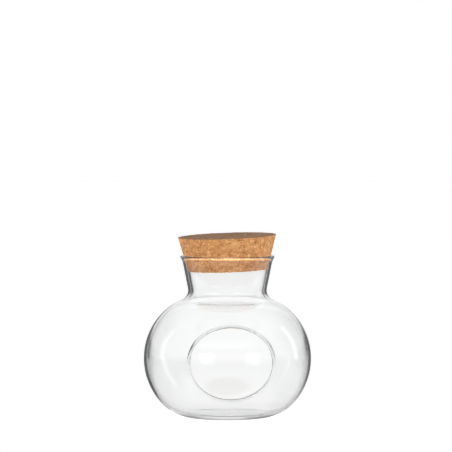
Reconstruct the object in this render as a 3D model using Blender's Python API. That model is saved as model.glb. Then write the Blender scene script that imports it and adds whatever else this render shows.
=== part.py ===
# Round glass jar: a squashed ball of blown glass with a round window sliced
# out of its front and a flared neck, closed by a tapered stopper of pressed cork.
# Metres, +Z up. The origin is on the jar's axis, on the surface it stands on.
# The window faces -Y.

import math

import bmesh
import bpy
from mathutils import Matrix, Vector

# Belly, as arcs of its outer profile, from the flat base up to the neck
BELLY_RADIUS = 0.0900
HEEL_ARC = 0.0444
LOWER_BELLY_ARC = 0.0703
UPPER_BELLY_ARC = 0.0694
SHOULDER_ARC = 0.0464
HEEL_TOP_ANGLE = math.radians(45.8)
UPPER_BELLY_ANGLE = math.radians(54.9)

# Neck, a straight cone between the shoulder's fillet and the flare of the lip
NECK_RADIUS = 0.0425
SHOULDER_FILLET = 0.0113
NECK_LENGTH = 0.0264
NECK_SLOPE = math.radians(11.2)
LIP_ARC = 0.0180
LIP_TURN = math.radians(22.0)

# Glass thickness
BASE_WALL = 0.0032
BELLY_WALL = 0.0024
NECK_WALL = 0.0025

# Window, a flat slice across the front of the belly, as wide as this at the belly's widest height
WINDOW_WIDTH = 0.0935
WINDOW_LEAN = math.radians(1.3)
WINDOW_POLISH = 0.0003

# Stopper, measured up and down from the circle where it wedges in the lip
CORK_RISE = 0.0278
CORK_DROP = 0.0087
CORK_EDGE = 0.0006
CORK_TAPER = math.radians(15.6)
CORK_TILT = math.radians(2.2)
CORK_LOW_SIDE = math.radians(203.5)
CORK_CLEARANCE = 0.0003

# Facets
TURN_STEPS = 64
DEGREES_PER_STEP = 9.0
RIM_STEPS = 5
POLISH_STEPS = 2
SHARP_ANGLE = math.radians(40)
MERGE_DISTANCE = 0.000002
WELD_SHARE = 0.8


def clear_scene():
    for item in list(bpy.data.objects):
        bpy.data.objects.remove(item, do_unlink=True)


def make_material(name, color, roughness, transmission=0.0):
    material = bpy.data.materials.new(name)
    material.use_nodes = True
    shader = material.node_tree.nodes["Principled BSDF"]
    shader.inputs["Base Color"].default_value = (*color, 1.0)
    shader.inputs["Roughness"].default_value = roughness
    shader.inputs["Metallic"].default_value = 0.0
    shader.inputs["Transmission Weight"].default_value = transmission
    material.diffuse_color = (*color, 1.0)
    return material


def direction(angle):
    return Vector((math.cos(angle), math.sin(angle)))


def smooth_mix(start, end, share):
    return start + (end - start) * share * share * (3 - 2 * share)


# A station is a point of the outer profile, the way out of the glass there,
# and the thickness of the wall. Vectors are (radius, height).
def arc_stations(center, radius, start, end, outward, walls):
    steps = max(2, math.ceil(abs(math.degrees(end - start)) / DEGREES_PER_STEP))
    stations = []
    for step in range(steps + 1):
        share = step / steps
        ray = direction(start + (end - start) * share)
        stations.append((center + ray * radius, ray * outward, smooth_mix(*walls, share)))
    return stations


def belly_profile():
    # Each arc's center lies on the line from its neighbour's center to their
    # shared point, so the profile turns without a kink.
    heel_ray = direction(-HEEL_TOP_ANGLE)
    lower_center = Vector((BELLY_RADIUS - LOWER_BELLY_ARC, 0))
    heel_center = lower_center + heel_ray * (LOWER_BELLY_ARC - HEEL_ARC)
    equator = HEEL_ARC - heel_center.y
    heel_center.y += equator
    lower_center.y += equator
    upper_center = Vector((BELLY_RADIUS - UPPER_BELLY_ARC, equator))
    shoulder_center = upper_center + direction(UPPER_BELLY_ANGLE) * (UPPER_BELLY_ARC - SHOULDER_ARC)

    # The fillet touches the shoulder from outside and runs into the neck's cone.
    fillet_center = Vector((NECK_RADIUS + SHOULDER_FILLET * math.cos(NECK_SLOPE), 0))
    reach = SHOULDER_ARC + SHOULDER_FILLET
    run = fillet_center.x - shoulder_center.x
    fillet_center.y = shoulder_center.y + math.sqrt(reach * reach - run * run)
    joint_angle = math.atan2(fillet_center.y - shoulder_center.y, run)

    floor = [(Vector((0, 0)), Vector((0, -1)), BASE_WALL)]
    heel = arc_stations(heel_center, HEEL_ARC, -math.pi / 2, -HEEL_TOP_ANGLE, 1, (BASE_WALL, BELLY_WALL))
    lower = arc_stations(lower_center, LOWER_BELLY_ARC, -HEEL_TOP_ANGLE, 0, 1, (BELLY_WALL, BELLY_WALL))
    upper = arc_stations(upper_center, UPPER_BELLY_ARC, 0, UPPER_BELLY_ANGLE, 1, (BELLY_WALL, BELLY_WALL))
    shoulder = arc_stations(
        shoulder_center, SHOULDER_ARC, UPPER_BELLY_ANGLE, joint_angle, 1, (BELLY_WALL, NECK_WALL))
    fillet = arc_stations(
        fillet_center, SHOULDER_FILLET, joint_angle + math.pi, math.pi - NECK_SLOPE, -1, (NECK_WALL, NECK_WALL))
    return floor + heel + lower[1:] + upper[1:] + shoulder[1:] + fillet[1:], equator


def lip_center(fillet_top):
    neck_top = fillet_top + Vector((math.tan(NECK_SLOPE), 1)) * NECK_LENGTH
    return neck_top + Vector((math.cos(NECK_SLOPE), -math.sin(NECK_SLOPE))) * LIP_ARC


def lip_stations(center):
    start = math.pi - NECK_SLOPE
    return arc_stations(center, LIP_ARC, start, start - LIP_TURN, -1, (NECK_WALL, NECK_WALL))


def rim_points(station):
    # Half a turn from the outer face over to the inner face
    point, outward, wall = station
    center = point - outward * wall / 2
    start = math.atan2(outward.y, outward.x)
    turns = [start + math.pi * step / RIM_STEPS for step in range(1, RIM_STEPS)]
    return [center + direction(turn) * wall / 2 for turn in turns]


def turned_body(points):
    body = bmesh.new()
    corners = [body.verts.new((point.x, 0, point.y)) for point in points]
    edges = [body.edges.new(pair) for pair in zip(corners, corners[1:])]
    bmesh.ops.spin(
        body, geom=corners + edges, cent=(0, 0, 0), axis=(0, 0, 1),
        angle=2 * math.pi, steps=TURN_STEPS, use_merge=True)
    bmesh.ops.remove_doubles(body, verts=body.verts, dist=MERGE_DISTANCE)
    bmesh.ops.recalc_face_normals(body, faces=body.faces)
    return body


def slice_window(body, equator):
    # The front cap comes off, a flat ring of faces closes the cut wall, and the
    # ring's two edges are rounded, as a flame polishes them. The ring is never
    # narrower than the wall, so the weld can't join its two edges.
    distance = math.sqrt(BELLY_RADIUS ** 2 - (WINDOW_WIDTH / 2) ** 2)
    bmesh.ops.bisect_plane(
        body, geom=body.verts[:] + body.edges[:] + body.faces[:], dist=MERGE_DISTANCE,
        plane_co=(0, -distance, equator),
        plane_no=(0, -math.cos(WINDOW_LEAN), math.sin(WINDOW_LEAN)), clear_outer=True)
    cut_corners = [corner for corner in body.verts if corner.is_boundary]
    bmesh.ops.remove_doubles(body, verts=cut_corners, dist=BELLY_WALL * WELD_SHARE)
    rim = [edge for edge in body.edges if edge.is_boundary]
    bmesh.ops.bridge_loops(body, edges=rim)
    bmesh.ops.bevel(
        body, geom=rim, offset=WINDOW_POLISH, segments=POLISH_STEPS,
        profile=0.5, affect="EDGES", clamp_overlap=True)
    bmesh.ops.recalc_face_normals(body, faces=body.faces)


def add_object(name, body, material):
    mesh = bpy.data.meshes.new(name)
    body.to_mesh(mesh)
    body.free()
    mesh.shade_smooth()
    mesh.set_sharp_from_angle(angle=SHARP_ANGLE)
    mesh.materials.append(material)
    item = bpy.data.objects.new(name, mesh)
    bpy.context.collection.objects.link(item)
    return item


def make_jar(material):
    belly, equator = belly_profile()
    center = lip_center(belly[-1][0])
    stations = belly + lip_stations(center)
    outside = [point for point, outward, wall in stations]
    inside = [point - outward * wall for point, outward, wall in reversed(stations)]
    body = turned_body(outside + rim_points(stations[-1]) + inside)
    slice_window(body, equator)
    add_object("glass_jar", body, material)
    return center


def cork_point(center, reach):
    # The stopper's two sides, in the upright plane that it tilts in, each pass
    # the lip's curve at this reach. Where the two lines cross is the point of
    # its cone, and the plane's first axis points to the low side.
    low = CORK_TAPER + CORK_TILT
    high = CORK_TAPER - CORK_TILT
    sides = Matrix(((math.cos(low), -math.sin(low)), (-math.cos(high), -math.sin(high))))
    offsets = Vector((
        sides[0].dot(center) - reach,
        sides[1].dot(Vector((-center.x, center.y))) - reach))
    return sides.inverted() @ offsets


def make_stopper(material, center):
    # Modelled about its own axis, with its cone's point at the origin
    reach = LIP_ARC + NECK_WALL + CORK_CLEARANCE
    slope = math.tan(CORK_TAPER)
    seat_radius = center.x - reach * math.cos(CORK_TAPER)
    seat = seat_radius / slope
    foot = Vector((seat_radius - CORK_DROP * slope, seat - CORK_DROP))
    head = Vector((seat_radius + CORK_RISE * slope, seat + CORK_RISE))
    side = Vector((math.sin(CORK_TAPER), math.cos(CORK_TAPER))) * CORK_EDGE
    inset = Vector((CORK_EDGE, 0))
    outline = [Vector((0, foot.y)), foot - inset, foot + side, head - side, head - inset, Vector((0, head.y))]

    lift = bpy.data.objects.new("stopper_lift", None)
    lift.location = (0, 0, center.y)
    bpy.context.collection.objects.link(lift)

    stopper = add_object("cork_stopper", turned_body(outline), material)
    along, height = cork_point(center, reach)
    stopper.parent = lift
    stopper.location = (
        along * math.cos(CORK_LOW_SIDE), along * math.sin(CORK_LOW_SIDE), height - center.y)
    stopper.rotation_mode = "QUATERNION"
    heading = Matrix.Rotation(CORK_LOW_SIDE, 4, "Z")
    stopper.rotation_quaternion = (heading @ Matrix.Rotation(CORK_TILT, 4, "Y")).to_quaternion()


clear_scene()
glass = make_material("clear_glass", (0.96, 0.98, 0.97), 0.02, transmission=1.0)
cork = make_material("pressed_cork", (0.62, 0.38, 0.20), 0.85)
lip = make_jar(glass)
make_stopper(cork, lip)
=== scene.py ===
import math

import bpy
import numpy as np
from mathutils import Matrix, Vector, noise


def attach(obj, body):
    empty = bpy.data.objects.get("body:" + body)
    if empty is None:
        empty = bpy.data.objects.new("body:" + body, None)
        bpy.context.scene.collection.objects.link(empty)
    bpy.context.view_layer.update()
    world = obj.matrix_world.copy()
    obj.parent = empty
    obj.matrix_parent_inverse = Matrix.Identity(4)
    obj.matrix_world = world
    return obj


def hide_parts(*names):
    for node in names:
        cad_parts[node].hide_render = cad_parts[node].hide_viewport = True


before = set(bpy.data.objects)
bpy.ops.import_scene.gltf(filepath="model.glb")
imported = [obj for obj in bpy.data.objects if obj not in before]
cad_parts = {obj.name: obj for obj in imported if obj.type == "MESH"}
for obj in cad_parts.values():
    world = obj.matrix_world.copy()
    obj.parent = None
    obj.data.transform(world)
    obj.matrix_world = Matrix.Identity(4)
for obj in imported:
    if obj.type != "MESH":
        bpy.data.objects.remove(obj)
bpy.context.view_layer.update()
print("frame loaded:", ", ".join(sorted(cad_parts)))


# Small helpers

def newNode(tree, kind, inputs=None, **settings):
    # inputs holds plain values or sockets to link, by socket name or number
    made = tree.nodes.new(kind)
    for name, value in settings.items():
        setattr(made, name, value)
    for name, value in (inputs or {}).items():
        if isinstance(value, bpy.types.NodeSocket):
            tree.links.new(value, made.inputs[name])
        else:
            made.inputs[name].default_value = value
    return made


def mathNode(tree, operation, first, second=0.0):
    return newNode(tree, "ShaderNodeMath", {0: first, 1: second}, operation=operation).outputs[0]


def vectorMath(tree, operation, inputs):
    return newNode(tree, "ShaderNodeVectorMath", inputs, operation=operation).outputs[0]


def mixColors(tree, share, first, second, blend="MIX"):
    # A Mix node's colour sockets are its seventh and eighth, and its colour comes out third
    mix = newNode(tree, "ShaderNodeMix", {0: share, 6: first, 7: second}, data_type="RGBA", blend_type=blend)
    return mix.outputs[2]


def colorRamp(tree, share, stops):
    made = newNode(tree, "ShaderNodeValToRGB", {0: share})
    ramp = made.color_ramp.elements
    ramp.remove(ramp[1])
    for number, (position, color) in enumerate(stops):
        stop = ramp[0] if number == 0 else ramp.new(position)
        stop.position = position
        stop.color = (*color, 1.0)
    return made.outputs[0]


def emptyMaterial(name):
    material = bpy.data.materials.new(name)
    material.use_nodes = True
    material.node_tree.nodes.clear()
    return material, material.node_tree


def meshPiece(name, points, faces, material):
    mesh = bpy.data.meshes.new(name)
    mesh.from_pydata([tuple(point) for point in points], [], faces)
    mesh.validate()
    mesh.shade_smooth()
    mesh.materials.append(material)
    piece = bpy.data.objects.new(name, mesh)
    bpy.context.scene.collection.objects.link(piece)
    return piece


def gridFaces(rowCount, columnCount, first=0, closed=True):
    # Quads of a grid whose rows are numbered one after the other
    rows, columns = np.meshgrid(np.arange(rowCount - 1), np.arange(columnCount - (not closed)), indexing="ij")
    here = first + rows * columnCount + columns
    beside = first + rows * columnCount + (columns + 1) % columnCount
    return np.stack((here, beside, beside + columnCount, here + columnCount), axis=-1)


def joinFaces(first, second):
    # Quads between two loops of as many points, given by their numbers
    return np.stack((first, np.roll(first, -1), np.roll(second, -1), second), axis=1)


# Glass jar. The blown shell is drawn again from the same arcs as the frame's, with fine faces.

glassJar = {
    # Outer profile, from the flat base up to the lip
    "bellyRadius": 0.0900, "heelArc": 0.0444, "lowerBellyArc": 0.0703, "upperBellyArc": 0.0694,
    "shoulderArc": 0.0464, "heelTopAngle": math.radians(45.8), "upperBellyAngle": math.radians(54.9),
    "neckRadius": 0.0425, "shoulderFillet": 0.0113, "neckLength": 0.0264, "neckSlope": math.radians(11.2),
    "lipArc": 0.0180, "lipTurn": math.radians(22.0),
    # Thickness of the glass, and how far up the lip its bead starts
    "baseWall": 0.0032, "bellyWall": 0.0024, "neckWall": 0.0025, "beadWall": 0.0033, "beadStartShare": 0.40,
    # Window and its flame-polished edge
    "windowWidth": 0.0935, "windowLean": math.radians(1.3), "outerRound": 0.0007, "tipRound": 0.0008,
    "rimSwell": 0.0010, "swellMiddle": 0.60, "swellUp": 0.37,
    # Faces, and how the window is worked into them
    "columns": 192, "rowSpacing": 0.0014, "floorSpacing": 0.0040, "rimSteps": 16, "polishSteps": 8,
    "blockHalfAngle": math.radians(39), "blockMargin": 0.0085, "patchRows": 12, "patchCrowding": 1.6,
    "halvings": 40, "feelerLength": 0.0005,
    # Waves of the blown wall, which die out over these heights at the foot and at the lip
    "waveDepth": 0.00008, "waveLength": 0.030, "footCalm": 0.02, "lipCalm": 0.03,
    # Colour of the glass, how much it bends light, and faint ripples in its gloss
    "tint": (0.985, 0.992, 0.990, 1.0), "bend": 1.5,
    "rippleScale": 55.0, "rippleStrength": 0.05, "rippleDepth": 0.0006,
}


def ray(angle):
    return np.array((math.cos(angle), math.sin(angle)))


def easeIn(share):
    return share * share * (3 - 2 * share)


def arcRows(center, radius, start, end, outward, walls):
    # Each row is radius, height, the way out of the glass there, and the wall
    steps = max(3, math.ceil(abs(end - start) * radius / glassJar["rowSpacing"]))
    rows = []
    for share in np.linspace(0, 1, steps + 1):
        out = ray(start + (end - start) * share)
        wall = walls[0] + (walls[1] - walls[0]) * easeIn(share)
        rows.append((*(center + out * radius), *(out * outward), wall))
    return rows


def jarProfile():
    jar = glassJar
    lowerCenter = np.array((jar["bellyRadius"] - jar["lowerBellyArc"], 0.0))
    heelCenter = lowerCenter + ray(-jar["heelTopAngle"]) * (jar["lowerBellyArc"] - jar["heelArc"])
    equator = jar["heelArc"] - heelCenter[1]
    heelCenter[1] += equator
    lowerCenter[1] += equator
    upperCenter = np.array((jar["bellyRadius"] - jar["upperBellyArc"], equator))
    shoulderCenter = upperCenter + ray(jar["upperBellyAngle"]) * (jar["upperBellyArc"] - jar["shoulderArc"])
    filletCenter = np.array((jar["neckRadius"] + jar["shoulderFillet"] * math.cos(jar["neckSlope"]), 0.0))
    run = filletCenter[0] - shoulderCenter[0]
    reach = jar["shoulderArc"] + jar["shoulderFillet"]
    filletCenter[1] = shoulderCenter[1] + math.sqrt(reach ** 2 - run * run)
    joint = math.atan2(filletCenter[1] - shoulderCenter[1], run)
    filletEnd = math.pi - jar["neckSlope"]
    neckWay = np.array((math.sin(jar["neckSlope"]), math.cos(jar["neckSlope"])))
    neckOut = np.array((neckWay[1], -neckWay[0]))
    neckStart = filletCenter - neckOut * jar["shoulderFillet"]
    neckRun = jar["neckLength"] / math.cos(jar["neckSlope"])
    lipCenter = neckStart + neckWay * neckRun + neckOut * jar["lipArc"]

    base, belly, neck = jar["baseWall"], jar["bellyWall"], jar["neckWall"]
    floorSteps = math.ceil(heelCenter[0] / jar["floorSpacing"])
    rows = [(heelCenter[0] * step / floorSteps, 0.0, 0.0, -1.0, base) for step in range(1, floorSteps)]
    rows += arcRows(heelCenter, jar["heelArc"], -math.pi / 2, -jar["heelTopAngle"], 1, (base, belly))
    rows += arcRows(lowerCenter, jar["lowerBellyArc"], -jar["heelTopAngle"], 0, 1, (belly, belly))[1:]
    rows += arcRows(upperCenter, jar["upperBellyArc"], 0, jar["upperBellyAngle"], 1, (belly, belly))[1:]
    rows += arcRows(shoulderCenter, jar["shoulderArc"], jar["upperBellyAngle"], joint, 1, (belly, neck))[1:]
    rows += arcRows(filletCenter, jar["shoulderFillet"], joint + math.pi, filletEnd, -1, (neck, neck))[1:]
    neckSteps = math.ceil(neckRun / jar["rowSpacing"])
    for step in range(1, neckSteps):
        rows.append((*(neckStart + neckWay * neckRun * step / neckSteps), *neckOut, neck))
    lip = np.array(arcRows(lipCenter, jar["lipArc"], filletEnd, filletEnd - jar["lipTurn"], -1, (neck, neck)))
    # The lip was rolled to a thicker bead at the heat, inwards, clear of the cork
    upLip = np.linspace(0, 1, len(lip))
    grown = np.clip((upLip - jar["beadStartShare"]) / (1 - jar["beadStartShare"]), 0, 1)
    lip[:, 4] += (jar["beadWall"] - neck) * easeIn(grown)
    return np.concatenate((np.array(rows), lip)), equator


def rimRows(last):
    # The half-round rim that joins the outer face's last row to the inner face
    steps = glassJar["rimSteps"]
    center = last[:2] - last[2:4] * last[4] / 2
    turns = math.atan2(last[3], last[2]) + math.pi * np.arange(1, steps) / steps
    return np.array([center + ray(turn) * last[4] / 2 for turn in turns])


def turnedPoints(section):
    # The section turned round the axis, from the middle of the front
    columns = glassJar["columns"]
    angles = -math.pi / 2 + 2 * math.pi * np.arange(columns) / columns
    return np.stack((
        np.outer(section[:, 0], np.cos(angles)), np.outer(section[:, 0], np.sin(angles)),
        np.repeat(section[:, 1:], columns, axis=1)), axis=-1).reshape(-1, 3)


def onSurface(x, z, rows):
    # The front point of a turned surface at this place of the front view
    radius = np.interp(z, rows[:, 1], rows[:, 0])
    return np.stack((x, -np.sqrt(radius ** 2 - x ** 2), z), axis=1)


def windowCurve(rows, equator, ways):
    # Where the window's plane meets a turned surface, along each way out from the window's middle
    jar = glassJar
    front = math.sqrt(jar["bellyRadius"] ** 2 - (jar["windowWidth"] / 2) ** 2)
    low, high = np.zeros(len(ways)), np.full(len(ways), jar["windowWidth"])
    for _ in range(jar["halvings"]):
        middle = (low + high) / 2
        x, up = ways[:, 0] * middle, ways[:, 1] * middle
        y = up * math.sin(jar["windowLean"]) - front
        z = up * math.cos(jar["windowLean"]) + equator
        inside = x * x + y * y < np.interp(z, rows[:, 1], rows[:, 0]) ** 2
        low, high = np.where(inside, middle, low), np.where(inside, high, middle)
    return np.stack((x, y, z), axis=1)


def windowBlock(outer, equator):
    # The block of the grid that the window takes: its bottom and top rows, and half its columns
    jar = glassJar
    ends = windowCurve(outer, equator, np.array(((0.0, 1.0), (0.0, -1.0))))
    reach = (ends[0, 2] - ends[1, 2]) / 2 + jar["blockMargin"]
    rows = np.flatnonzero(np.abs(outer[:, 1] - equator) < reach)
    return rows[0], rows[-1], round(jar["blockHalfAngle"] / (2 * math.pi) * jar["columns"])


def blockLoop(bottom, top, half):
    # The block's edge, once round, as row and column
    across = np.arange(-half, half)
    along = np.arange(bottom, top)
    loop = [(bottom, column) for column in across] + [(row, half) for row in along]
    loop += [(top, -column) for column in across] + [(bottom + top - row, -half) for row in along]
    return np.array(loop)


def patchRings(edge, start, edgeFace, startFace):
    # From the block's edge in to the start of the polished rim, closer together near the rim
    rings = []
    for step in range(1, glassJar["patchRows"]):
        share = 1 - (1 - step / glassJar["patchRows"]) ** glassJar["patchCrowding"]
        x = edge[:, 0] + (start[:, 0] - edge[:, 0]) * share
        z = edge[:, 2] + (start[:, 2] - edge[:, 2]) * share
        rings.append(edgeFace(x, z) * (1 - easeIn(share)) + startFace(x, z) * easeIn(share))
    return rings


def besideRim(rim, ways, reach, face, flat):
    # Points this far from the rim on the blown surface, and how far the edge there turns
    feeler = ways * glassJar["feelerLength"]
    along = face(rim[:, 0] + feeler[:, 0], rim[:, 2] + feeler[:, 1]) - rim
    along /= np.linalg.norm(along, axis=1)[:, None]
    turn = np.arccos(np.clip(-np.sum(along * flat, axis=1), -1, 1))
    there = rim + along * reach
    return face(there[:, 0], there[:, 2]), turn


def bentRings(start, corner, end, turn):
    # Round arcs from the start to the end, which touch the two lines to the corner
    pull = np.cos(turn / 2)[:, None]
    rings = []
    for share in np.linspace(0, 1, glassJar["polishSteps"] + 1):
        first, middle, last = (1 - share) ** 2, 2 * share * (1 - share) * pull, share ** 2
        rings.append((start * first + corner * middle + end * last) / (first + middle + last))
    return rings


def windowRings(profile, equator, outerEdge, innerEdge):
    # Rings of points from the outer face over the window's polished edge to the inner face
    jar = glassJar
    outer = profile[:, :2]
    inner = outer - profile[:, 2:4] * profile[:, 4:5]
    ways = outerEdge[:, (0, 2)] - (0, equator)
    ways /= np.linalg.norm(ways, axis=1)[:, None]
    # The flame that polished the edge also thickened the glass there, most of all at the top
    swollen = inner - profile[:, 2:4] * jar["rimSwell"]
    swell = jar["swellMiddle"] + jar["swellUp"] * ways[:, 1:]

    def outerFace(x, z):
        return onSurface(x, z, outer)

    def innerFace(x, z):
        return onSurface(x, z, inner)

    def swollenFace(x, z):
        return onSurface(x, z, inner) * (1 - swell) + onSurface(x, z, swollen) * swell

    outerRim = windowCurve(outer, equator, ways)
    innerRim = windowCurve(inner, equator, ways) * (1 - swell) + windowCurve(swollen, equator, ways) * swell
    flat = innerRim - outerRim
    flat /= np.linalg.norm(flat, axis=1)[:, None]
    outerStart, outerTurn = besideRim(outerRim, ways, jar["outerRound"], outerFace, flat)
    # The inner edge is a thin wedge, so a round tip starts far back on both its faces
    wedge = math.pi - besideRim(innerRim, ways, jar["tipRound"], swollenFace, -flat)[1]
    tipStart = jar["tipRound"] / np.tan(wedge / 2)[:, None]
    innerStart, innerTurn = besideRim(innerRim, ways, tipStart, swollenFace, -flat)
    rings = patchRings(outerEdge, outerStart, outerFace, outerFace)
    rings += bentRings(outerStart, outerRim, outerRim + flat * jar["outerRound"], outerTurn)
    rings += bentRings(innerRim - flat * tipStart, innerRim, innerStart, innerTurn)
    rings += patchRings(innerEdge, innerStart, innerFace, swollenFace)[::-1]
    return rings


def blownWaves(points):
    # The hand-blown wall wanders a little, always inwards, and runs true at the foot and the lip
    jar = glassJar
    top = points[:, 2].max()
    for point in points:
        calm = min(1.0, point[2] / jar["footCalm"], max(0.0, (top - point[2]) / jar["lipCalm"]))
        wave = 0.5 + 0.5 * noise.noise(Vector(point) / jar["waveLength"])
        radius = math.hypot(point[0], point[1])
        if radius > jar["waveLength"] / 2:
            point[:2] *= 1 - jar["waveDepth"] * calm * wave / radius


def makeGlass(material):
    columns = glassJar["columns"]
    profile, equator = jarProfile()
    outer = profile[:, :2]
    inner = outer - profile[:, 2:4] * profile[:, 4:5]
    section = np.concatenate((outer, rimRows(profile[-1]), inner[::-1]))
    points = turnedPoints(section)
    quads = gridFaces(len(section), columns)

    # A block of the grid round the window is left open on both faces of the wall
    bottom, top, half = windowBlock(outer, equator)
    lastRow = len(section) - 1
    keep = np.ones(quads.shape[:2], bool)
    for low, high in ((bottom, top), (lastRow - top, lastRow - bottom)):
        keep[np.ix_(np.arange(low, high), np.arange(-half, half) % columns)] = False
    faces = quads[keep].tolist()

    # Rings of points close the block, from its edge outside to its edge inside
    loop = blockLoop(bottom, top, half)
    outerEdge = loop[:, 0] * columns + loop[:, 1] % columns
    innerEdge = (lastRow - loop[:, 0]) * columns + loop[:, 1] % columns
    rings = windowRings(profile, equator, points[outerEdge], points[innerEdge])
    firstRing = len(points) + np.arange(len(loop))
    lastRing = firstRing + (len(rings) - 1) * len(loop)
    faces += gridFaces(len(rings), len(loop), len(points)).reshape(-1, 4).tolist()
    faces += joinFaces(outerEdge, firstRing).tolist() + joinFaces(lastRing, innerEdge).tolist()
    points = np.concatenate([points] + rings)

    # The two middles of the floor close the shell
    under, over = len(points), len(points) + 1
    points = np.concatenate((points, ((0, 0, 0), (0, 0, glassJar["baseWall"]))))
    for column in range(columns):
        beside = (column + 1) % columns
        faces.append((under, beside, column))
        faces.append((over, lastRow * columns + column, lastRow * columns + beside))

    blownWaves(points)
    used = sorted({number for face in faces for number in face})
    renumbered = np.zeros(len(points), int)
    renumbered[used] = np.arange(len(used))
    faces = [[int(renumbered[number]) for number in face] for face in faces]
    return meshPiece("glassShell", points[used], faces, material)


def glassMaterial():
    jar = glassJar
    material, tree = emptyMaterial("blownClearGlass")
    place = newNode(tree, "ShaderNodeTexCoord").outputs["Object"]
    ripples = newNode(tree, "ShaderNodeTexNoise", {
        "Vector": place, "Scale": jar["rippleScale"], "Detail": 1.0})
    bump = newNode(tree, "ShaderNodeBump", {
        "Height": ripples.outputs["Fac"], "Strength": jar["rippleStrength"], "Distance": jar["rippleDepth"]})
    shader = newNode(tree, "ShaderNodeBsdfPrincipled", {
        "Base Color": jar["tint"], "Roughness": 0.0, "IOR": jar["bend"],
        "Transmission Weight": 1.0, "Normal": bump.outputs["Normal"]})
    newNode(tree, "ShaderNodeOutputMaterial", {"Surface": shader.outputs[0]})
    return material


glassShell = makeGlass(glassMaterial())
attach(glassShell, "jar")
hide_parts("glass_jar")
print("glass shell:", len(glassShell.data.polygons), "faces")


# Cork stopper. Its radii and heights are read from the frame's stopper.

corkStopper = {
    # How it leans, as the frame's stopper does, its rounded edges and its faces
    "tilt": math.radians(2.2), "lowSide": math.radians(203.5),
    "edge": 0.0006, "edgeSteps": 3, "gridSteps": 88, "sideSteps": 38,
    # Pressed granules, the crumbs between them, and how far they are squeezed out of shape
    "granuleSize": 0.0030, "crumbSize": 0.0011, "warpSize": 0.0060, "warpReach": 0.0044,
    "reliefDepth": 0.00022, "pitDepth": 0.0007, "pitShare": 0.035, "pitSlope": 0.25,
    # Colours: a tan for each granule, then what darkens or lightens it
    "tans": ((0.0, (0.56, 0.240, 0.084)), (0.12, (0.64, 0.295, 0.108)), (0.55, (0.73, 0.362, 0.142)),
             (0.85, (0.79, 0.418, 0.174)), (1.0, (0.85, 0.480, 0.215))),
    "flecks": ((0.0, (0.30, 0.22, 0.17)), (0.06, (0.52, 0.42, 0.36)), (0.16, (1.0, 1.0, 1.0))),
    "seams": ((0.0, (0.62, 0.50, 0.42)), (0.10, (1.0, 1.0, 1.0))),
    "drifts": ((0.35, (0.94, 0.92, 0.90)), (0.65, (1.04, 1.05, 1.06))),
    "grains": ((0.3, (0.90, 0.88, 0.86)), (0.7, (1.06, 1.06, 1.06))),
    "fleckShare": 0.75, "seamShare": 0.6, "grainScale": 2600.0, "driftScale": 90.0,
    # Surface: fine bumps, and the dusty sheen of ground cork
    "seamSlope": 0.12, "seamBump": 0.6, "grainBump": 0.8, "bumpStrength": 0.5, "bumpDepth": 0.00025,
    "roughLeast": 0.72, "roughMost": 0.95, "gloss": 0.25, "dust": 0.05, "dustSpread": 0.4,
}


def corkPlace():
    # The frame's stopper in its own axes: its place, foot and head heights, and their radii
    cork = corkStopper
    turn = Matrix.Rotation(cork["lowSide"], 4, "Z") @ Matrix.Rotation(cork["tilt"], 4, "Y")
    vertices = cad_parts["cork_stopper"].data.vertices
    corners = np.array([turn.inverted() @ vertex.co for vertex in vertices])
    low, high = corners.min(axis=0), corners.max(axis=0)
    middle = (low + high) / 2
    reach = np.hypot(corners[:, 0] - middle[0], corners[:, 1] - middle[1])
    headRadius = reach[corners[:, 2] > high[2] - 2 * cork["edge"]].max()
    footRadius = reach[corners[:, 2] < low[2] + 2 * cork["edge"]].max()
    return turn @ Matrix.Translation((middle[0], middle[1], 0)), low[2], high[2], footRadius, headRadius


def discGrid(steps):
    # A square grid bent onto a disc of radius 1, so that its cells stay alike
    spread = np.linspace(-1, 1, steps + 1)
    a, b = np.meshgrid(spread, spread, indexing="ij")
    wide = np.abs(a) > np.abs(b)
    radius = np.where(wide, a, b)
    with np.errstate(divide="ignore", invalid="ignore"):
        turn = np.where(wide, math.pi / 4 * b / a, math.pi / 2 - math.pi / 4 * a / b)
    turn = np.nan_to_num(turn)
    return np.stack((radius * np.cos(turn), radius * np.sin(turn)), axis=-1).reshape(-1, 2)


def gridRim(steps):
    # The numbers of the grid's outer points, once round
    size = steps + 1
    run = np.arange(steps)
    return np.concatenate((run * size, steps * size + run, (steps - run) * size + steps, steps - run))


def corkRings(foot, head, footRadius, headRadius):
    # Radius and height down the outside: rounded head edge, tapered side, rounded foot edge
    cork = corkStopper
    edge = cork["edge"]
    bows = math.pi / 2 * np.linspace(0, 1, cork["edgeSteps"] + 1)
    slope = (headRadius - footRadius) / (head - foot)
    rings = []
    for bow in bows[1:]:
        rings.append((headRadius - edge + edge * math.sin(bow), head - edge + edge * math.cos(bow)))
    for share in np.linspace(0, 1, cork["sideSteps"] + 1)[1:-1]:
        height = head - edge - (head - foot - 2 * edge) * share
        rings.append((headRadius - (head - height) * slope, height))
    for bow in bows[:-1]:
        rings.append((footRadius - edge + edge * math.cos(bow), foot + edge - edge * math.sin(bow)))
    return rings


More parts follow.
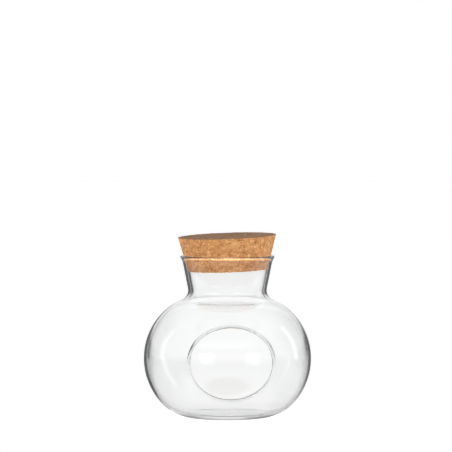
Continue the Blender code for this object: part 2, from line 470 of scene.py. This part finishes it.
def makeCork(material):
    steps, edge = corkStopper["gridSteps"], corkStopper["edge"]
    place, foot, head, footRadius, headRadius = corkPlace()
    disc, rim = discGrid(steps), gridRim(steps)
    circle = disc[rim]
    rings = corkRings(foot, head, footRadius, headRadius)

    flat = np.ones((len(disc), 1))
    points = [np.hstack((disc * (headRadius - edge), flat * head))]
    points += [np.hstack((circle * radius, np.full((len(circle), 1), height))) for radius, height in rings]
    points += [np.hstack((disc * (footRadius - edge), flat * foot))]
    points = np.concatenate(points)

    firstRing = len(disc) + np.arange(len(rim))
    footStart = len(disc) + len(rings) * len(rim)
    headQuads = gridFaces(steps + 1, steps + 1, 0, closed=False).reshape(-1, 4)
    footQuads = gridFaces(steps + 1, steps + 1, footStart, closed=False).reshape(-1, 4)[:, ::-1]
    side = gridFaces(len(rings), len(rim), len(disc)).reshape(-1, 4)
    headJoin = joinFaces(rim, firstRing)
    footJoin = joinFaces(firstRing + (len(rings) - 1) * len(rim), footStart + rim)
    faces = np.concatenate((headQuads, headJoin, side, footJoin, footQuads))[:, ::-1].tolist()
    return meshPiece("corkBody", [place @ Vector(point) for point in points], faces, material)


def granules(tree, place):
    # The pressed granules, the same in the relief and in the colour: a random colour each,
    # how near the seam is, and finer crumbs
    cork = corkStopper
    sway = newNode(tree, "ShaderNodeTexNoise", {
        "Vector": place, "Scale": 1 / cork["warpSize"], "Detail": 2.0})
    shift = vectorMath(tree, "SUBTRACT", {0: sway.outputs["Color"], 1: (0.5, 0.5, 0.5)})
    shift = vectorMath(tree, "SCALE", {0: shift, "Scale": cork["warpReach"]})
    bent = vectorMath(tree, "ADD", {0: place, 1: shift})
    granule = {"Vector": bent, "Scale": 1 / cork["granuleSize"]}
    cells = newNode(tree, "ShaderNodeTexVoronoi", granule)
    seams = newNode(tree, "ShaderNodeTexVoronoi", granule, feature="DISTANCE_TO_EDGE")
    crumbs = newNode(tree, "ShaderNodeTexVoronoi", {"Vector": bent, "Scale": 1 / cork["crumbSize"]})
    return cells.outputs["Color"], seams.outputs["Distance"], crumbs.outputs["Color"]


def corkRelief(piece):
    # Sinks each granule by its own amount, opens a few pits, then fixes the result in the mesh
    cork = corkStopper
    tree = bpy.data.node_groups.new("corkRelief", "GeometryNodeTree")
    tree.interface.new_socket("Geometry", in_out="INPUT", socket_type="NodeSocketGeometry")
    tree.interface.new_socket("Geometry", in_out="OUTPUT", socket_type="NodeSocketGeometry")
    start = newNode(tree, "NodeGroupInput")
    cellColor, seam, crumbColor = granules(tree, newNode(tree, "GeometryNodeInputPosition").outputs[0])
    cell = newNode(tree, "ShaderNodeSeparateXYZ", {0: cellColor})
    crumb = newNode(tree, "ShaderNodeSeparateXYZ", {0: crumbColor})
    sink = mathNode(tree, "MULTIPLY", cell.outputs["Y"], cork["reliefDepth"])
    fine = mathNode(tree, "MULTIPLY", crumb.outputs["Y"], cork["reliefDepth"] / 2)
    pit = mathNode(tree, "GREATER_THAN", cell.outputs["Z"], 1 - cork["pitShare"])
    inPit = newNode(tree, "ShaderNodeMapRange", {
        "Value": seam, "From Max": cork["pitSlope"], "To Max": cork["pitDepth"]})
    hole = mathNode(tree, "MULTIPLY", pit, inPit.outputs[0])
    depth = mathNode(tree, "ADD", mathNode(tree, "ADD", sink, fine), hole)
    normal = newNode(tree, "GeometryNodeInputNormal").outputs[0]
    offset = vectorMath(tree, "SCALE", {0: normal, "Scale": mathNode(tree, "MULTIPLY", depth, -1.0)})
    moved = newNode(tree, "GeometryNodeSetPosition", {"Geometry": start.outputs[0], "Offset": offset})
    newNode(tree, "NodeGroupOutput", {0: moved.outputs[0]})

    modifier = piece.modifiers.new("corkRelief", "NODES")
    modifier.node_group = tree
    bpy.context.view_layer.update()
    shaped = bpy.data.meshes.new_from_object(piece.evaluated_get(bpy.context.evaluated_depsgraph_get()))
    piece.modifiers.clear()
    piece.data = shaped
    shaped.shade_smooth()


def corkMaterial():
    cork = corkStopper
    material, tree = emptyMaterial("pressedCorkGranules")
    place = newNode(tree, "ShaderNodeTexCoord").outputs["Object"]
    cellColor, seam, crumbColor = granules(tree, place)
    cell = newNode(tree, "ShaderNodeSeparateColor", {0: cellColor})
    crumb = newNode(tree, "ShaderNodeSeparateColor", {0: crumbColor})
    grain = newNode(tree, "ShaderNodeTexNoise", {"Vector": place, "Scale": cork["grainScale"], "Detail": 3.0})
    cloud = newNode(tree, "ShaderNodeTexNoise", {"Vector": place, "Scale": cork["driftScale"], "Detail": 2.0})
    grainHeight = grain.outputs["Fac"]

    # Dark bark flecks, seams, slow drifts of colour and fine grain over the granules' tans
    color = colorRamp(tree, cell.outputs[0], cork["tans"])
    for share, value, shades in (
            (cork["fleckShare"], crumb.outputs[0], cork["flecks"]),
            (cork["seamShare"], seam, cork["seams"]),
            (1.0, cloud.outputs["Fac"], cork["drifts"]),
            (1.0, grainHeight, cork["grains"])):
        color = mixColors(tree, share, color, colorRamp(tree, value, shades), "MULTIPLY")

    rough = newNode(tree, "ShaderNodeMapRange", {
        "Value": crumb.outputs[1], "To Min": cork["roughLeast"], "To Max": cork["roughMost"]})
    seamDip = newNode(tree, "ShaderNodeMapRange", {"Value": seam, "From Max": cork["seamSlope"]})
    height = mathNode(tree, "MULTIPLY", seamDip.outputs[0], cork["seamBump"])
    height = mathNode(tree, "ADD", height, crumb.outputs[1])
    height = mathNode(tree, "ADD", height, mathNode(tree, "MULTIPLY", grainHeight, cork["grainBump"]))
    bump = newNode(tree, "ShaderNodeBump", {
        "Height": height, "Strength": cork["bumpStrength"], "Distance": cork["bumpDepth"]})
    shader = newNode(tree, "ShaderNodeBsdfPrincipled", {
        "Base Color": color, "Roughness": rough.outputs[0], "Normal": bump.outputs["Normal"],
        "Specular IOR Level": cork["gloss"], "Sheen Weight": cork["dust"],
        "Sheen Roughness": cork["dustSpread"]})
    newNode(tree, "ShaderNodeOutputMaterial", {"Surface": shader.outputs[0]})
    return material


corkBody = makeCork(corkMaterial())
corkRelief(corkBody)
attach(corkBody, "stopper")
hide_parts("cork_stopper")
print("cork:", len(corkBody.data.polygons), "faces")


# Studio: white sweep, its dark sides as the glass shows them, soft boxes and camera

studio = {
    "floorRadius": 9.0, "floorStep": 5, "floorDrop": 0.0004, "floorColor": 0.82, "floorGlow": 0.82,
    # Light on the object from all round, and the heights of the sky between which it falls off
    "horizonLight": 8.3, "zenithLight": 0.05, "lightFall": (0.03, 0.24),
    # What is seen through the glass. Sweeps are (degrees from straight behind, level),
    # rises (height of the sky from, to, level above), reaches distances on the floor.
    # Painted shade: the floor under the jar shows darker through the glass than the floor near it
    "clearUnderShade": 0.80, "clearNear": 0.91, "clearReach": (0.62, 0.74), "clearPivot": 0.65,
    "clearMiddle": ((-180, 0.05), (-7.9, 0.05), (-7.1, 0.85), (-5.5, 0.99), (5.5, 0.99), (8.3, 0.85),
                    (9.1, 0.05), (180, 0.05)),
    "clearSides": ((-180, 1.0), (-90, 0.8), (-60, 0.08), (-33, 0.08), (-28, 0.85), (-18.5, 0.85), (-17, 0.05),
                   (17, 0.05), (18.5, 0.85), (28, 0.85), (33, 0.08), (60, 0.08), (90, 0.8), (180, 1.0)),
    "clearRises": ((0.07, 0.13, 0.86), (0.26, 0.42, 0.15)),
    # What is mirrored in the glass and in its edges
    "edgeNear": ((-180, 0.5), (-130, 0.3), (-100, 0.6), (-75, 0.5), (-58, 0.1), (-10, 0.15), (-5.5, 0.4),
                 (-3.5, 0.95), (3.5, 0.95), (5.5, 0.5), (11, 0.45), (22, 0.15), (34, 0.12), (45, 0.3),
                 (70, 0.7), (100, 0.7), (130, 0.3), (180, 0.5)),
    "edgeFar": ((-180, 0.22), (-130, 0.24), (-100, 0.6), (-75, 0.5), (-58, 0.25), (-46, 0.2), (-40, 0.15),
                (-8, 0.12), (-4, 0.4), (4, 0.4), (12, 0.3), (19, 0.1), (34, 0.15), (50, 0.6),
                (70, 0.7), (100, 0.7), (130, 0.24), (180, 0.22)),
    "edgeReach": (0.85, 1.10),
    "edgeSky": ((-180, 0.5), (-100, 0.6), (-58, 0.45), (-46, 0.4), (-38, 0.2), (-8, 0.12), (-4, 0.9),
                (4, 0.9), (12, 0.3), (19, 0.1), (34, 0.15), (45, 0.4), (70, 0.7), (180, 0.5)),
    "edgeRises": ((0.07, 0.15, 0.85), (0.45, 0.65, 1.1)),
    # Painted shade: out to these distances the floor under the jar is darker, as the glass mirrors it
    "underShadeReach": (0.07, 0.13), "underShadeLevel": 0.55,
    # A painted contact shadow, a dark line where the jar's heel meets the floor, and a white card lying in
    # front of the jar.
    # Rings are the distances at which they start, are full, fade and end.
    "footShadowRing": (0.036, 0.042, 0.049, 0.054), "footShadowLevel": 0.02,
    "cardRing": (0.08, 0.12, 0.26, 0.32),
    "cardLevels": ((-180, 0.7), (-140, 0.7), (-120, 0.0), (120, 0.0), (140, 0.7), (180, 0.7)),
    # Lamps, by their turn from the camera's side
    "softBoxes": (
        {"name": "softBoxLeft", "turn": -38.0, "height": 0.22, "size": (0.60, 0.80), "level": 1.1},
        {"name": "softBoxRight", "turn": 31.0, "height": 0.22, "size": (0.60, 0.80), "level": 1.1},
        {"name": "panelLeft", "turn": -102.0, "height": 0.35, "size": (0.25, 1.6), "level": 0.65},
        {"name": "panelRight", "turn": 108.0, "height": 0.35, "size": (0.25, 1.6), "level": 1.0},
    ),
    "boxDistance": 1.6, "boxAim": (0, 0, 0.1),
    # Camera, and how often light may bounce
    "cameraTurn": -3.0, "cameraDistance": 3.2, "cameraHeight": 0.350, "cameraDip": 2.594,
    "aimAside": 0.00156, "focalPixels": 2982.9, "framePixels": 452, "sensorWidth": 36.0,
    "bounces": 48,
}


def around(turn, distance, height):
    # A place round the jar's axis, by its turn from the camera's side
    angle = math.radians(turn + studio["cameraTurn"])
    return Vector((math.sin(angle) * distance, -math.cos(angle) * distance, height))


def lightPaths(tree):
    # Whether a ray shows the studio straight, through the glass only, or mirrored on its way
    path = newNode(tree, "ShaderNodeLightPath")
    lit = mathNode(tree, "GREATER_THAN", path.outputs["Diffuse Depth"], 0.5)
    looking = mathNode(tree, "SUBTRACT", 1.0, lit)
    bounced = mathNode(tree, "GREATER_THAN", path.outputs["Glossy Depth"], 0.5)
    mirrored = mathNode(tree, "MULTIPLY", bounced, looking)
    clear = mathNode(tree, "SUBTRACT", looking, mirrored)
    straight = mathNode(tree, "MULTIPLY", path.outputs["Is Camera Ray"], clear)
    through = mathNode(tree, "MULTIPLY", path.outputs["Is Transmission Ray"], clear)
    return straight, through, mirrored


def grey(level):
    return (level, level, level, 1.0)


def between(tree, value, low, high):
    return newNode(tree, "ShaderNodeMapRange", {"Value": value, "From Min": low, "From Max": high}).outputs[0]


def ring(tree, distance, radii):
    # 1 within a ring of the floor, from its inner soft edge to its outer one
    start, full, fade, end = radii
    risen = between(tree, distance, start, full)
    return mathNode(tree, "SUBTRACT", risen, between(tree, distance, fade, end))


def sweepLevel(tree, place, stops):
    # How bright the studio is, by the turn from straight behind the jar, right positive
    turned = newNode(tree, "ShaderNodeVectorRotate", {
        "Vector": place, "Angle": -math.radians(studio["cameraTurn"])}, rotation_type="Z_AXIS").outputs[0]
    parts = newNode(tree, "ShaderNodeSeparateXYZ", {0: turned})
    angle = mathNode(tree, "ARCTAN2", parts.outputs["X"], parts.outputs["Y"])
    share = between(tree, angle, -math.pi, math.pi)
    return colorRamp(tree, share, [((turn + 180) / 360, (level, level, level)) for turn, level in stops])


def clearLevel(tree, fromPivot, fromJar):
    # What shows through the glass: a bright middle, told from the pivot, and the sides, from the jar
    middle = sweepLevel(tree, fromPivot, studio["clearMiddle"])
    return mixColors(tree, 1.0, middle, sweepLevel(tree, fromJar, studio["clearSides"]), "LIGHTEN")


def risingLevel(tree, up, level, rises):
    # Blends the sky into one level after another on the way up
    for low, high, above in rises:
        level = mixColors(tree, between(tree, up, low, high), level, grey(above))
    return level


def makeFloor():
    material, tree = emptyMaterial("paleFloor")
    straight, through, mirrored = lightPaths(tree)
    place = newNode(tree, "ShaderNodeNewGeometry").outputs["Position"]
    distance = newNode(tree, "ShaderNodeVectorMath", {0: place}, operation="LENGTH").outputs["Value"]
    fromPivot = vectorMath(tree, "SUBTRACT", {0: place, 1: around(0, studio["clearPivot"], 0)})
    # aside is 0 under the jar, where painted shade darkens the floor, and 1 beside it
    aside = between(tree, distance, *studio["underShadeReach"])

    # Painted shade under the jar, seen through the glass
    clear = mixColors(tree, aside, grey(studio["clearUnderShade"]), grey(studio["clearNear"]))
    clear = mixColors(
        tree, between(tree, distance, *studio["clearReach"]), clear, clearLevel(tree, fromPivot, place))

    far = between(tree, distance, *studio["edgeReach"])
    edge = sweepLevel(tree, place, studio["edgeNear"])
    edge = mixColors(tree, far, edge, sweepLevel(tree, place, studio["edgeFar"]))
    # Painted shade under the jar, as the glass mirrors the floor
    edge = mixColors(tree, aside, grey(studio["underShadeLevel"]), edge)
    # Painted contact shadow: a dark ring round the jar's heel, seen only as the glass mirrors the floor
    edge = mixColors(tree, ring(tree, distance, studio["footShadowRing"]), edge, grey(studio["footShadowLevel"]))
    card = sweepLevel(tree, place, studio["cardLevels"])
    edge = mixColors(tree, ring(tree, distance, studio["cardRing"]), edge, card, "ADD")

    # The glow lifts the matt floor to white, and the dark sides take the light off both
    shown = mixColors(tree, through, grey(1.0), clear)
    shown = mixColors(tree, mirrored, shown, edge)
    looking = mathNode(tree, "ADD", mathNode(tree, "ADD", straight, through), mirrored)
    matt = newNode(tree, "ShaderNodeBsdfDiffuse", {
        "Color": mixColors(tree, 1.0, shown, grey(studio["floorColor"]), "MULTIPLY")})
    glow = newNode(tree, "ShaderNodeEmission", {
        "Color": shown, "Strength": mathNode(tree, "MULTIPLY", looking, studio["floorGlow"])})
    surface = newNode(tree, "ShaderNodeAddShader", {0: matt.outputs[0], 1: glow.outputs[0]})
    newNode(tree, "ShaderNodeOutputMaterial", {"Surface": surface.outputs[0]})
    material.cycles.emission_sampling = "NONE"
    turns = range(0, 360, studio["floorStep"])
    rim = [around(turn, studio["floorRadius"], -studio["floorDrop"]) for turn in turns]
    meshPiece("studioFloor", rim, [list(range(len(rim)))], material)


def makeLights():
    for box in studio["softBoxes"]:
        light = bpy.data.lights.new(box["name"], "AREA")
        light.shape = "RECTANGLE"
        light.size, light.size_y = box["size"]
        # An area light's watts spread over its area and half a turn of directions
        light.energy = box["level"] * math.pi * light.size * light.size_y
        item = bpy.data.objects.new(box["name"], light)
        item.location = around(box["turn"], studio["boxDistance"], box["height"])
        item.rotation_euler = (Vector(studio["boxAim"]) - item.location).to_track_quat("-Z", "Y").to_euler()
        item.visible_camera = False
        bpy.context.scene.collection.objects.link(item)


def makeWorld():
    world = bpy.data.worlds.new("studioWorld")
    world.use_nodes = True
    tree = world.node_tree
    tree.nodes.clear()
    straight, through, mirrored = lightPaths(tree)
    way = newNode(tree, "ShaderNodeTexCoord").outputs["Generated"]
    up = newNode(tree, "ShaderNodeSeparateXYZ", {0: way}).outputs["Z"]
    low, high = studio["lightFall"]
    level = newNode(tree, "ShaderNodeMapRange", {
        "Value": up, "From Min": low, "From Max": high, "To Min": studio["horizonLight"],
        "To Max": studio["zenithLight"]}, interpolation_type="SMOOTHSTEP").outputs[0]
    # Low down the glass and its edges look at the dark sides, and higher up at the pale sweep
    clear = risingLevel(tree, up, clearLevel(tree, way, way), studio["clearRises"])
    edge = risingLevel(tree, up, sweepLevel(tree, way, studio["edgeSky"]), studio["edgeRises"])
    level = mixColors(tree, straight, level, grey(1.0))
    level = mixColors(tree, through, level, clear)
    level = mixColors(tree, mirrored, level, edge)
    sky = newNode(tree, "ShaderNodeBackground", {"Color": level})
    newNode(tree, "ShaderNodeOutputWorld", {"Surface": sky.outputs[0]})
    bpy.context.scene.world = world


def makeCamera():
    data = bpy.data.cameras.new("studioCamera")
    data.sensor_width = studio["sensorWidth"]
    data.lens = studio["focalPixels"] / studio["framePixels"] * studio["sensorWidth"]
    camera = bpy.data.objects.new("studioCamera", data)
    camera.location = around(0, studio["cameraDistance"], studio["cameraHeight"])
    aside = math.atan(studio["aimAside"] / studio["cameraDistance"])
    camera.rotation_euler = (
        math.radians(90 - studio["cameraDip"]), 0, math.radians(studio["cameraTurn"]) + aside)
    bpy.context.scene.collection.objects.link(camera)
    bpy.context.scene.camera = camera


makeFloor()
makeLights()
makeWorld()
makeCamera()
bpy.context.scene.view_settings.view_transform = "Standard"
# Light runs round inside the glass for many turns before it comes out at an edge
cycles = bpy.context.scene.cycles
cycles.blur_glossy = 0.0
cycles.max_bounces = studio["bounces"]
cycles.transmission_bounces = studio["bounces"]
cycles.glossy_bounces = studio["bounces"]
print("studio and camera ready")
